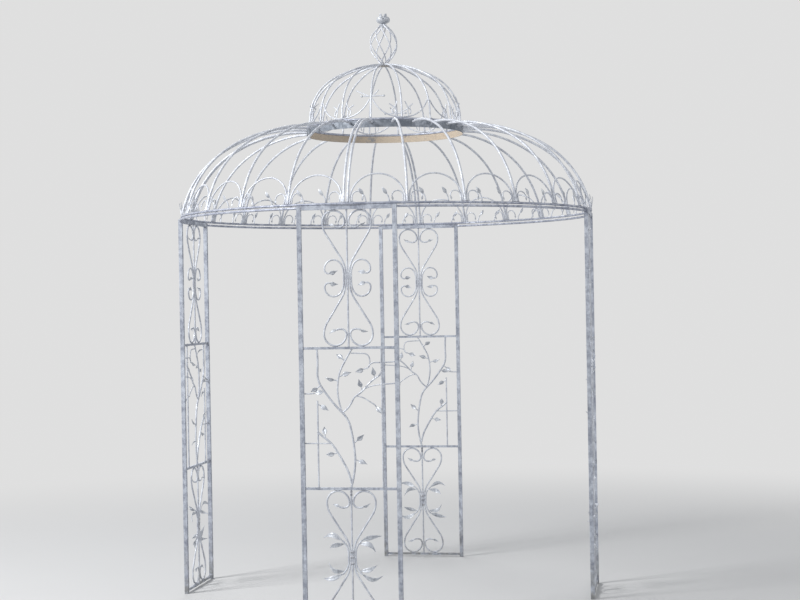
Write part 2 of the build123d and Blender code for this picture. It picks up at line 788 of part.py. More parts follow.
# Cupola sprigs: a forked twig on every brace and a four-armed star on the ribs above the panels
brace_reach = brace_top - brace_foot
brace_radius = (brace_reach.X**2 + brace_reach.Z**2) / (2 * brace_reach.Z)
fork_turn = degrees(asin(fork_offset / brace_radius))
fork_heading = heading_vector(90 + fork_turn)
fork_foot = brace_foot + Vector(0, 0, brace_radius) - fork_heading * (brace_radius - brace_rod / 2 - weld_gap)
with BuildPart() as fork:
    with BuildLine(Plane.XZ) as fork_line:
        bend_line(
            (fork_foot.X, fork_foot.Z), 90 + fork_turn, [(fork_stem, 0), (fork_bend_radius, -fork_bend_turn)]
        )
    sweep_rod(fork_line.wire(), fork_rod)
    fork_end = fork_line.wire() @ 1
    fork_end_heading = 90 + fork_turn - fork_bend_turn
    for side in (1, -1):
        with BuildLine(Plane.XZ) as arm_line:
            bend_line((fork_end.X, fork_end.Z), fork_end_heading + side * fork_spread, [(fork_arm, 0)])
        sweep_rod(arm_line.wire(), fork_rod)
    with BuildLine(Plane.XZ) as leg_line:
        bend_line((fork_end.X, fork_end.Z), fork_end_heading - 90, [(fork_leg_radius, -fork_leg_turn)])
    sweep_rod(leg_line.wire(), fork_rod)
with BuildPart() as fork_mirrored:
    add(fork.part.mirror(Plane.YZ))

star_radius, star_lean = cupola_rib_at(star_height)
star_root = cupola_rib_rod / 2 + weld_gap
with BuildPart() as star:
    for side, flat_arm, rising_arm, rise in (
        (1, star_side_arm, star_short_arm, star_short_rise),
        (-1, star_short_arm, star_long_arm, star_rise),
    ):
        for root, arm, heading in (
            (star_root, flat_arm, 90 - side * 90),
            (star_root + star_rod, rising_arm, 90 - side * (90 - rise)),
        ):
            with BuildLine(Plane.XZ) as arm_line:
                bend_line((side * root, 0), heading, [(arm, 0)])
            sweep_rod(arm_line.wire(), star_rod)
with BuildPart() as cupola_sprigs:
    place_in_cupola_bays(fork, fork_mirrored)
    for angle in panel_angles.values():
        with Locations(leaning_seat(angle, star_radius, cupola_ring_level + star_height, star_lean, 0)):
            add(star.part)
cupola_sprigs.part.label = "cupola_sprigs"
export_step(cupola_sprigs.part, "parts/cupola_sprigs.step")
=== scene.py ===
"""Dresses the round wrought-iron garden gazebo: finishes, forged leaves, flower, welds and studio."""

import logging
import math
from collections.abc import Callable, Iterable, Sequence
from dataclasses import dataclass
from enum import Enum

import bmesh
import bpy
import numpy as np
from mathutils import Matrix, Vector
from mathutils.bvhtree import BVHTree
from mathutils.kdtree import KDTree


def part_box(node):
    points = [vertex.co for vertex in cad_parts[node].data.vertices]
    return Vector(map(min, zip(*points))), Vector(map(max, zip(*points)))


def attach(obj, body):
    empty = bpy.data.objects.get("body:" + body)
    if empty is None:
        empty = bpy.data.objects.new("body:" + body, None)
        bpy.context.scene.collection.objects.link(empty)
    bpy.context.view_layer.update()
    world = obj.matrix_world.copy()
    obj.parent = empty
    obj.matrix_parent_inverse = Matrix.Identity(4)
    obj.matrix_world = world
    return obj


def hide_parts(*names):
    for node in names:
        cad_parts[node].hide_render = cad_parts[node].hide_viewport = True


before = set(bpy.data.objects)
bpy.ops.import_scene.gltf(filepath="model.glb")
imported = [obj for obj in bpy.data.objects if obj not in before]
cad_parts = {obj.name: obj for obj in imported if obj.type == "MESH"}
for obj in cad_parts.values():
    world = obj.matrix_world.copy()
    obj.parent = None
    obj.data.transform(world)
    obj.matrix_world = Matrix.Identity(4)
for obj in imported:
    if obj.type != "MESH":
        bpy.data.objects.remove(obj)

logging.basicConfig(level=logging.INFO, format="%(name)s: %(message)s")
log = logging.getLogger("gazebo")

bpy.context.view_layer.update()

# How far each panel is turned from the front, and each quarter of the roof from +X, in degrees
PANEL_TURNS = {"front_left": -45.0, "front_right": 45.0, "rear_right": 135.0, "rear_left": 225.0}
QUARTER_TURNS = {"front": -90.0, "right": 0.0, "rear": 90.0, "left": 180.0}

# How near two places are that count as one, and how many digits a place is rounded to
CLOSE = 1e-4
TOUCHING = 1e-6
PLACE_DIGITS = 5

DARK_RUST = (0.16, 0.075, 0.035, 1.0)
PALE_RUST = (0.50, 0.36, 0.22, 1.0)
SOIL = (0.20, 0.19, 0.16, 1.0)
DUST = (0.70, 0.64, 0.54, 1.0)
SKY = (0.93, 0.96, 1.0, 1.0)

Size = tuple[float, float, float]


class LeafStyle(Enum):
    """The kinds of forged leaf on the gazebo."""

    BROAD = "broad"
    SLENDER = "slender"
    SMALL = "small"
    LONG = "long"


# Modelling by hand


def start_fresh() -> None:
    """Leaves edit mode and deselects everything."""
    if bpy.context.object and bpy.context.object.mode != "OBJECT":
        bpy.ops.object.mode_set(mode="OBJECT")
    bpy.ops.object.select_all(action="DESELECT")


def make_active(piece: bpy.types.Object) -> None:
    """Selects one piece alone and makes it the active one.

    Args:
        piece: The piece.
    """
    start_fresh()
    piece.select_set(True)
    bpy.context.view_layer.objects.active = piece


def pick_vertices(piece: bpy.types.Object, test: Callable[[Vector], bool]) -> None:
    """Selects vertices of the piece that is in edit mode.

    Args:
        piece: The mesh object in edit mode.
        test: Says of a vertex's place whether it is selected.
    """
    form = bmesh.from_edit_mesh(piece.data)
    for vertex in form.verts:
        vertex.select_set(test(vertex.co))
    form.select_flush_mode()
    bmesh.update_edit_mesh(piece.data)


def apply_modifiers(piece: bpy.types.Object) -> None:
    """Applies every modifier of the piece, in order.

    Args:
        piece: The piece.
    """
    make_active(piece)
    for modifier in list(piece.modifiers):
        bpy.ops.object.modifier_apply(modifier=modifier.name)


def thicken(blade: bpy.types.Object, thickness: float, offset: float) -> None:
    """Gives a blade its thickness and smooths it.

    Args:
        blade: The open mesh.
        thickness: How thick it becomes.
        offset: Where the thickness goes: 0 to both sides, -1 to the back.
    """
    wall = blade.modifiers.new("wall", "SOLIDIFY")
    wall.thickness = thickness
    wall.offset = offset
    smooth = blade.modifiers.new("smooth", "SUBSURF")
    smooth.levels = smooth.render_levels = 1
    apply_modifiers(blade)
    bpy.ops.object.shade_smooth()


def round_edges(piece: bpy.types.Object, width: float, segments: int) -> None:
    """Bevels the sharp edges of a piece.

    Args:
        piece: The piece.
        width: The bevel's width.
        segments: How many faces it has across.
    """
    edge = piece.modifiers.new("edge", "BEVEL")
    edge.width = width
    edge.segments = segments
    apply_modifiers(piece)


def sized(place: Matrix, size: Size) -> Matrix:
    """Returns the place with its axes stretched to the size."""
    return place @ Matrix.Diagonal((*size, 1.0))


def stamp(pattern: bpy.types.Object, places: Iterable[Matrix], name: str) -> bpy.types.Object:
    """Copies a finished pattern to every place and joins the copies into one piece.

    Args:
        pattern: The piece that is repeated. It stays as it is.
        places: Where each copy goes, in the gazebo's frame.
        name: The new piece's name.

    Returns:
        The joined piece, with its object at the origin.
    """
    start_fresh()
    copies = []
    for place in places:
        copy = bpy.data.objects.new(name, pattern.data.copy())
        copy.data.transform(place)
        if place.determinant() < 0:
            copy.data.flip_normals()
        bpy.context.scene.collection.objects.link(copy)
        copy.select_set(True)
        copies.append(copy)
    bpy.context.view_layer.objects.active = copies[0]
    if len(copies) > 1:
        bpy.ops.object.join()
    piece = copies[0]
    piece.name = name
    piece.data.name = name
    return piece


def discard(*patterns: bpy.types.Object) -> None:
    """Removes patterns that have been copied.

    Args:
        patterns: The pieces to remove.
    """
    for pattern in patterns:
        mesh = pattern.data
        bpy.data.objects.remove(pattern)
        bpy.data.meshes.remove(mesh)


def register(piece: bpy.types.Object, finish: bpy.types.Material, nodes: Sequence[str] = ()) -> None:
    """Gives a finished piece its finish and its place on the gazebo.

    Args:
        piece: The finished piece.
        finish: Its material.
        nodes: The solids that it stands for.
    """
    piece.data.materials.clear()
    piece.data.materials.append(finish)
    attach(piece, "root")
    if nodes:
        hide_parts(*nodes)
    log.info("%s: %d faces", piece.name, len(piece.data.polygons))


# Finishes


class Wiring:
    """Adds nodes to a shader tree and joins them."""

    def __init__(self, tree: bpy.types.NodeTree) -> None:
        """Keeps the tree that is wired."""
        self.tree = tree

    def add(self, kind: str, inputs: dict | None = None, **settings: object) -> bpy.types.Node:
        """Adds a node.

        Args:
            kind: The node's type name.
            inputs: Values or output sockets, by input name or number.
            settings: Properties of the node.

        Returns:
            The new node.
        """
        node = self.tree.nodes.new(kind)
        for key, value in settings.items():
            setattr(node, key, value)
        for key, value in (inputs or {}).items():
            self.feed(node.inputs[key], value)
        return node

    def feed(self, socket: bpy.types.NodeSocket, value: object) -> None:
        """Links an output to the socket, or sets the socket's own value.

        Args:
            socket: The input socket.
            value: An output socket, or a plain value.
        """
        if isinstance(value, bpy.types.NodeSocket):
            self.tree.links.new(value, socket)
        else:
            socket.default_value = value

    def math(self, operation: str, first: object, second: object = 0.0) -> bpy.types.NodeSocket:
        """Returns the output of a clamped math node."""
        node = self.add("ShaderNodeMath", {0: first, 1: second}, operation=operation, use_clamp=True)
        return node.outputs[0]

    def remap(
        self, value: object, low: float, high: float, to_low: float = 0.0, to_high: float = 1.0
    ) -> bpy.types.NodeSocket:
        """Returns the value stretched from one range to another, with smooth ends."""
        node = self.add(
            "ShaderNodeMapRange",
            {"Value": value, "From Min": low, "From Max": high, "To Min": to_low, "To Max": to_high},
            interpolation_type="SMOOTHSTEP",
        )
        return node.outputs["Result"]

    def blend(self, factor: object, first: object, second: object) -> bpy.types.NodeSocket:
        """Returns a mix of two colours."""
        node = self.add("ShaderNodeMix", {0: factor, 6: first, 7: second}, data_type="RGBA")
        return node.outputs[2]

    def noise(
        self, vector: object, scale: object, detail: float = 4.0, roughness: float = 0.55
    ) -> bpy.types.NodeSocket:
        """Returns the value of a noise texture."""
        inputs = {"Vector": vector, "Scale": scale, "Detail": detail, "Roughness": roughness}
        return self.add("ShaderNodeTexNoise", inputs).outputs["Fac"]


def new_group(name: str, inputs: Sequence[tuple], outputs: Sequence[tuple]) -> tuple:
    """Makes an empty shader group with named sockets.

    Args:
        name: The group's name.
        inputs: (name, socket type, default) of each input.
        outputs: (name, socket type) of each output.

    Returns:
        The tree, its wiring, its input node and its output node.
    """
    tree = bpy.data.node_groups.new(name, "ShaderNodeTree")
    for label, kind, default in inputs:
        socket = tree.interface.new_socket(label, in_out="INPUT", socket_type=kind)
        if default is not None:
            socket.default_value = default
    for label, kind in outputs:
        tree.interface.new_socket(label, in_out="OUTPUT", socket_type=kind)
    wiring = Wiring(tree)
    return tree, wiring, wiring.add("NodeGroupInput"), wiring.add("NodeGroupOutput")


FLOAT, COLOUR, VECTOR = "NodeSocketFloat", "NodeSocketColor", "NodeSocketVector"


def seen_directly(wires: Wiring) -> bpy.types.NodeSocket:
    """Finds the rays that show the backdrop: straight, mirrored or through glass.

    Args:
        wires: The wiring of the tree that asks.

    Returns:
        An output that is 1 for such rays and 0 for the others.
    """
    path = wires.add("ShaderNodeLightPath")
    seen = wires.math("MAXIMUM", path.outputs["Is Camera Ray"], path.outputs["Is Glossy Ray"])
    return wires.math("MAXIMUM", seen, path.outputs["Is Transmission Ray"])


def build_zinc_mottle() -> bpy.types.NodeTree:
    """Builds the dull patches, crystal spangle and pitted skin of old zinc.

    Returns:
        The shader group.
    """
    tree, wires, given, result = new_group(
        "zinc_mottle",
        [("Vector", VECTOR, None), ("Patch Scale", FLOAT, 30.0), ("Spangle Scale", FLOAT, 140.0)],
        [("Tone", FLOAT), ("Gloss", FLOAT), ("Height", FLOAT)],
    )
    vector = given.outputs["Vector"]
    patches = wires.noise(vector, given.outputs["Patch Scale"], detail=5.0, roughness=0.62)
    broad = wires.noise(vector, 4.5, detail=2.0)
    spangle_scale = given.outputs["Spangle Scale"]
    crystals = wires.add("ShaderNodeTexVoronoi", {"Vector": vector, "Scale": spangle_scale})
    crystal_tone = wires.add("ShaderNodeSeparateColor", {"Color": crystals.outputs["Color"]}).outputs[0]
    patch_tone = wires.remap(patches, 0.36, 0.64)
    patch_share = wires.math("MULTIPLY", patch_tone, 0.55)
    crystal_share = wires.math("MULTIPLY", crystal_tone, 0.22)
    broad_share = wires.math("MULTIPLY", wires.remap(broad, 0.35, 0.65), 0.23)
    tone = wires.math("ADD", wires.math("ADD", patch_share, crystal_share), broad_share)
    pits = wires.noise(vector, 420.0, detail=3.0, roughness=0.7)
    hammer = wires.noise(vector, 75.0, detail=1.0)
    height = wires.math("ADD", wires.math("MULTIPLY", pits, 0.35), wires.math("MULTIPLY", hammer, 0.65))
    wires.feed(result.inputs["Tone"], tone)
    wires.feed(result.inputs["Gloss"], wires.math("MULTIPLY", patch_tone, crystal_tone))
    wires.feed(result.inputs["Height"], height)
    return tree


def build_rust_bloom() -> bpy.types.NodeTree:
    """Builds the rust that blooms through the zinc in ragged patches.

    Returns:
        The shader group.
    """
    tree, wires, given, result = new_group(
        "rust_bloom",
        [("Vector", VECTOR, None), ("Spread", FLOAT, 0.2), ("Scale", FLOAT, 14.0)],
        [("Mask", FLOAT), ("Tint", COLOUR)],
    )
    vector = given.outputs["Vector"]
    where = wires.noise(vector, given.outputs["Scale"], detail=8.0, roughness=0.68)
    ragged = wires.noise(vector, 160.0, detail=4.0, roughness=0.7)
    mixed = wires.math("ADD", wires.math("MULTIPLY", where, 0.8), wires.math("MULTIPLY", ragged, 0.2))
    edge = wires.math("SUBTRACT", 0.78, wires.math("MULTIPLY", given.outputs["Spread"], 0.5))
    over = wires.math("MULTIPLY", wires.math("SUBTRACT", mixed, edge), 9.0)
    ramp = wires.add("ShaderNodeValToRGB", {"Fac": ragged})
    ramp.color_ramp.elements[0].position = 0.32
    ramp.color_ramp.elements[0].color = DARK_RUST
    ramp.color_ramp.elements[1].position = 0.68
    ramp.color_ramp.elements[1].color = PALE_RUST
    wires.feed(result.inputs["Mask"], over)
    wires.feed(result.inputs["Tint"], ramp.outputs["Color"])
    return tree


def build_rain_streaks() -> bpy.types.NodeTree:
    """Builds the grey runs that rain leaves down the metal.

    Returns:
        The shader group.
    """
    tree, wires, given, result = new_group(
        "rain_streaks", [("Vector", VECTOR, None), ("Width", FLOAT, 120.0)], [("Mask", FLOAT)]
    )
    stretched = wires.add(
        "ShaderNodeMapping", {"Vector": given.outputs["Vector"], "Scale": (1.0, 1.0, 0.05)}
    ).outputs["Vector"]
    runs = wires.noise(stretched, given.outputs["Width"], detail=3.0)
    wires.feed(result.inputs["Mask"], wires.remap(runs, 0.5, 0.72))
    return tree


def build_soil_splash() -> bpy.types.NodeTree:
    """Builds the dull film that rain splashes up from the ground.

    Returns:
        The shader group.
    """
    tree, wires, given, result = new_group(
        "soil_splash", [("Vector", VECTOR, None), ("Reach", FLOAT, 0.3)], [("Mask", FLOAT)]
    )
    height = wires.add("ShaderNodeSeparateXYZ", {"Vector": given.outputs["Vector"]}).outputs["Z"]
    ragged = wires.noise(given.outputs["Vector"], 24.0, detail=5.0)
    level = wires.math("DIVIDE", height, given.outputs["Reach"])
    low = wires.math("SUBTRACT", 1.0, level)
    wires.feed(result.inputs["Mask"], wires.math("MULTIPLY", low, wires.remap(ragged, 0.3, 0.65)))
    return tree


def build_sheltered_side() -> bpy.types.NodeTree:
    """Builds the mask of the faces turned to the gazebo's axis, which rain never washes.

    Returns:
        The shader group.
    """
    tree, wires, given, result = new_group("sheltered_side", [("Vector", VECTOR, None)], [("Mask", FLOAT)])
    level = wires.add(
        "ShaderNodeVectorMath", {0: given.outputs["Vector"], 1: (1.0, 1.0, 0.0)}, operation="MULTIPLY"
    )
    outward = wires.add("ShaderNodeVectorMath", {0: level.outputs[0]}, operation="NORMALIZE")
    normal = wires.add("ShaderNodeNewGeometry").outputs["Normal"]
    facing = wires.add("ShaderNodeVectorMath", {0: outward.outputs[0], 1: normal}, operation="DOT_PRODUCT")
    wires.feed(result.inputs["Mask"], wires.remap(facing.outputs["Value"], -0.1, -0.5))
    return tree


@dataclass(frozen=True)
class MetalFinish:
    """Weathered zinc over steel, with as much rust as the piece has."""

    name: str
    bright: tuple[float, float, float]
    dull: tuple[float, float, float]
    rust_spread: float = 0.1
    rust_scale: float = 14.0
    sheltered_rust: float = 0.0
    dust_share: float = 0.0
    streak_share: float = 0.35
    splash_share: float = 0.0
    metallic: float = 0.35
    smooth: float = 0.34
    rough: float = 0.58
    patch_scale: float = 30.0
    bump: float = 0.35
    bump_depth: float = 0.0012
    grime_shade: float = 0.55
    rust_relief: float = 0.4
    rust_roughness: float = 0.35

    def build(self, groups: dict[str, bpy.types.NodeTree]) -> bpy.types.Material:
        """Builds the material.

        Args:
            groups: The shared groups by name.

        Returns:
            The finished material.
        """
        material = bpy.data.materials.new(self.name)
        material.use_nodes = True
        tree = material.node_tree
        tree.nodes.clear()
        wires = Wiring(tree)
        vector = wires.add("ShaderNodeTexCoord").outputs["Object"]

        def use(name: str, inputs: dict) -> bpy.types.Node:
            """Places one of the shared groups.

            Args:
                name: The group's name.
                inputs: Values or output sockets for its inputs, by name.

            Returns:
                The group's node.
            """
            node = wires.add("ShaderNodeGroup", node_tree=groups[name])
            for key, value in {"Vector": vector, **inputs}.items():
                wires.feed(node.inputs[key], value)
            return node

        mottle = use("zinc_mottle", {"Patch Scale": self.patch_scale})
        inside = use("sheltered_side", {}).outputs["Mask"]
        spread = wires.math("ADD", wires.math("MULTIPLY", inside, self.sheltered_rust), self.rust_spread)
        rust = use("rust_bloom", {"Spread": spread, "Scale": self.rust_scale})
        rusted = rust.outputs["Mask"]
        streaks = use("rain_streaks", {}).outputs["Mask"]
        splash = use("soil_splash", {}).outputs["Mask"]
        zinc = wires.blend(mottle.outputs["Tone"], (*self.dull, 1.0), (*self.bright, 1.0))
        grime = wires.math("MULTIPLY", streaks, self.streak_share)
        rained = wires.blend(grime, zinc, tuple(self.grime_shade * tone for tone in self.dull) + (1.0,))
        soiled = wires.blend(wires.math("MULTIPLY", splash, self.splash_share), rained, SOIL)
        dust = wires.math("MULTIPLY", inside, self.dust_share)
        dusty_rust = wires.blend(dust, rust.outputs["Tint"], DUST)
        colour = wires.blend(rusted, soiled, dusty_rust)
        clean = wires.math("SUBTRACT", 1.0, rusted)
        gloss = wires.remap(mottle.outputs["Gloss"], 0.0, 1.0, self.rough, self.smooth)
        scale_relief = wires.math("MULTIPLY", rusted, self.rust_relief)
        relief = wires.math("ADD", mottle.outputs["Height"], scale_relief)
        bump = wires.add(
            "ShaderNodeBump", {"Height": relief, "Strength": self.bump, "Distance": self.bump_depth}
        )
        shader = wires.add(
            "ShaderNodeBsdfPrincipled",
            {
                "Base Color": colour,
                "Metallic": wires.math("MULTIPLY", clean, self.metallic),
                "Roughness": wires.math("ADD", gloss, wires.math("MULTIPLY", rusted, self.rust_roughness)),
                "Normal": bump.outputs["Normal"],
            },
        )
        output = wires.add("ShaderNodeOutputMaterial")
        wires.feed(output.inputs["Surface"], shader.outputs["BSDF"])
        return material


@dataclass(frozen=True)
class GroundFinish:
    """The plain pale floor of the studio."""

    name: str = "pale_floor"
    tint: float = 0.64
    fade_start: float = 2.2
    fade_end: float = 6.5
    cloud_scale: float = 1.4
    cloud_shade: float = 0.985

    def build(self, backdrop: float) -> bpy.types.Material:
        """Builds a matt pale material that fades into the backdrop away from the gazebo.

        Args:
            backdrop: The backdrop's grey, from 0 to 1.

        Returns:
            The finished material.
        """
        material = bpy.data.materials.new(self.name)
        material.use_nodes = True
        tree = material.node_tree
        tree.nodes.clear()
        wires = Wiring(tree)
        vector = wires.add("ShaderNodeTexCoord").outputs["Object"]
        cloud = wires.noise(vector, self.cloud_scale, detail=2.0)
        paler = (self.tint,) * 3 + (1.0,)
        darker = (self.cloud_shade * self.tint,) * 3 + (1.0,)
        matt = wires.add(
            "ShaderNodeBsdfPrincipled",
            {"Base Color": wires.blend(cloud, paler, darker), "Roughness": 0.9, "Specular IOR Level": 0.1},
        )
        glow = wires.add("ShaderNodeEmission", {"Color": (backdrop,) * 3 + (1.0,), "Strength": 1.0})
        away = wires.add("ShaderNodeVectorMath", {0: vector}, operation="LENGTH").outputs["Value"]
        far = wires.remap(away, self.fade_start, self.fade_end)
        fade = wires.math("MULTIPLY", far, seen_directly(wires))
        mixed = wires.add("ShaderNodeMixShader", {0: fade, 1: matt.outputs[0], 2: glow.outputs[0]})
        output = wires.add("ShaderNodeOutputMaterial")
        wires.feed(output.inputs["Surface"], mixed.outputs[0])
        return material


class Paintshop:
    """Builds each finish once and dresses the solids with it."""

    def __init__(self) -> None:
        """Builds the shared groups and the metal finishes."""
        groups = {
            "zinc_mottle": build_zinc_mottle(),
            "rust_bloom": build_rust_bloom(),
            "rain_streaks": build_rain_streaks(),
            "soil_splash": build_soil_splash(),
            "sheltered_side": build_sheltered_side(),
        }
        finishes = (
            MetalFinish(
                "post_zinc", (0.60, 0.64, 0.71), (0.23, 0.25, 0.31), rust_spread=0.16, splash_share=0.7
            ),
            MetalFinish(
                "rod_zinc",
                (0.70, 0.73, 0.78),
                (0.38, 0.40, 0.46),
                rust_spread=0.12,
                splash_share=0.5,
                bump=0.22,
            ),
            # The roof's zinc is the rods' zinc painted paler: painted light that stands for the light
            # falling on the top of the gazebo.
            MetalFinish(
                "roof_zinc_painted_light",
                (0.76, 0.79, 0.84),
                (0.47, 0.49, 0.55),
                rust_spread=0.11,
                smooth=0.44,
                bump=0.2,
            ),
            MetalFinish("ring_zinc", (0.56, 0.59, 0.67), (0.23, 0.25, 0.32), rust_spread=0.18),
            MetalFinish(
                "leaf_zinc", (0.68, 0.71, 0.75), (0.34, 0.36, 0.41), rust_spread=0.10, patch_scale=60.0
            ),
            MetalFinish(
                "weld_zinc", (0.52, 0.53, 0.57), (0.20, 0.21, 0.24), rust_spread=0.38, rust_scale=40.0
            ),
            MetalFinish(
                "band_rust",
                (0.34, 0.37, 0.42),
                (0.13, 0.15, 0.18),
                rust_spread=0.22,
                rust_scale=9.0,
                sheltered_rust=0.62,
                dust_share=0.55,
            ),
            MetalFinish(
                "hub_rust", (0.40, 0.39, 0.38), (0.20, 0.19, 0.18), rust_spread=0.55, rust_scale=22.0
            ),
        )
        self.finish = {finish.name: finish.build(groups) for finish in finishes}

    def choose(self, node: str) -> str:
        """Picks the finish that a solid gets.

        Args:
            node: The solid's name.

        Returns:
            The finish's name.
        """
        kind = {
            "posts": "post_zinc",
            "rails": "post_zinc",
            "leaves": "leaf_zinc",
            "ring": "ring_zinc",
            "bar": "ring_zinc",
            "band": "band_rust",
            "hub": "hub_rust",
        }
        # Dome, cupola and finial get the paler zinc, with painted light on the top of the gazebo.
        roof = any(word in node for word in ("dome", "cupola", "finial"))
        return kind.get(node.rsplit("_", 1)[-1], "roof_zinc_painted_light" if roof else "rod_zinc")

    def dress_solids(self) -> None:
        """Gives every solid its procedural finish."""
        for name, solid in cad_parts.items():
            finish = self.finish[self.choose(name)]
            if not solid.material_slots:
                solid.data.materials.append(finish)
            for place in solid.material_slots:
                place.material = finish
        log.info("dressed %d solids", len(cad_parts))


# Forged leaves and buds


@dataclass
class LeafPattern:
    """A hammered leaf, one unit long from its stalk at the origin to its tip, and one unit wide.

    Its spine runs along +X. The droop lifts it off the flat and the bow bends it sideways, towards +Y.
    """

    style: LeafStyle
    outline: tuple[float, ...]
    droop: tuple[float, ...]
    bow: tuple[float, ...] = (0.0, 0.0)
    rib_depth: float = 0.06
    vein_depth: float = 0.03
    hollow_share: float = 0.4
    vein_start: float = 0.2
    hollow_start: float = 0.3
    wall: float = 0.035
    columns: int = 8
    rows: int = 6

    def build(self) -> bpy.types.Object:
        """Shapes a grid into the leaf.

        Returns:
            The finished pattern.
        """
        start_fresh()
        bpy.ops.mesh.primitive_grid_add(
            x_subdivisions=self.columns, y_subdivisions=self.rows, size=1.0, location=(0.5, 0.0, 0.0)
        )
        leaf = bpy.context.object
        leaf.name = f"{self.style.value}_leaf_pattern"
        bpy.ops.object.transform_apply(location=True, rotation=True, scale=True)
        stations = sorted({round(vertex.co.x, PLACE_DIGITS) for vertex in leaf.data.vertices})
        lanes = sorted({round(vertex.co.y, PLACE_DIGITS) for vertex in leaf.data.vertices})
        bpy.ops.object.mode_set(mode="EDIT")
        self.sink_rib_and_veins(leaf, stations, lanes)
        self.cut_outline(leaf, stations)
        bpy.ops.object.mode_set(mode="OBJECT")
        thicken(leaf, self.wall, offset=0.0)
        return leaf

    def sink_rib_and_veins(self, leaf: bpy.types.Object, stations: list[float], lanes: list[float]) -> None:
        """Presses the middle rib down and raises every second pair of side veins.

        Args:
            leaf: The grid in edit mode.
            stations: The places of its columns along the leaf.
            lanes: The places of its rows across the leaf.
        """
        pick_vertices(leaf, lambda place: abs(place.y) < CLOSE)
        bpy.ops.transform.translate(value=(0.0, 0.0, -self.rib_depth))
        outer = lanes[-1] - 10 * CLOSE
        for number, station in enumerate(stations[1:-1]):
            raised = number % 2 == 1
            lift = self.vein_depth if raised else -self.vein_depth * self.hollow_share
            inner = self.vein_start if raised else self.hollow_start
            pick_vertices(
                leaf, lambda place: abs(place.x - station) < CLOSE and inner < abs(place.y) < outer
            )
            bpy.ops.transform.translate(value=(0.0, 0.0, lift))

    def cut_outline(self, leaf: bpy.types.Object, stations: list[float]) -> None:
        """Draws each column in to the outline and lets the blade droop.

        Args:
            leaf: The grid in edit mode.
            stations: The places of its columns along the leaf.
        """
        for station in stations:
            width, droop, bow = (
                float(np.interp(station, np.linspace(0.0, 1.0, len(values)), values))
                for values in (self.outline, self.droop, self.bow)
            )
            pick_vertices(leaf, lambda place: abs(place.x - station) < CLOSE)
            bpy.ops.transform.resize(value=(1.0, width, 1.0), center_override=(station, 0.0, 0.0))
            bpy.ops.transform.translate(value=(0.0, bow, droop))


LEAF_PATTERNS = (
    LeafPattern(
        LeafStyle.BROAD,
        outline=(0.1, 0.5, 0.88, 1.0, 0.92, 0.72, 0.42, 0.2, 0.03),
        droop=(0.0, 0.025, 0.05, 0.06, 0.05, 0.02, -0.02, -0.07, -0.12),
    ),
    LeafPattern(
        LeafStyle.SLENDER,
        outline=(0.18, 0.6, 0.95, 1.0, 0.85, 0.6, 0.36, 0.18, 0.03),
        droop=(0.0, 0.04, 0.07, 0.08, 0.06, 0.02, -0.05, -0.12, -0.2),
    ),
    LeafPattern(
        LeafStyle.LONG,
        outline=(0.12, 0.48, 0.84, 1.0, 0.98, 0.84, 0.6, 0.32, 0.04),
        droop=(0.0, 0.05, 0.12, 0.17, 0.18, 0.14, 0.04, -0.12, -0.3),
        bow=(0.0, 0.18, 0.34, 0.46, 0.52, 0.5, 0.38, 0.16, -0.14),
    ),
    LeafPattern(
        LeafStyle.SMALL,
        outline=(0.25, 0.95, 1.0, 0.62, 0.06),
        droop=(0.0, 0.06, 0.07, 0.02, -0.08),
        wall=0.06,
        columns=4,
        rows=2,
    ),
)


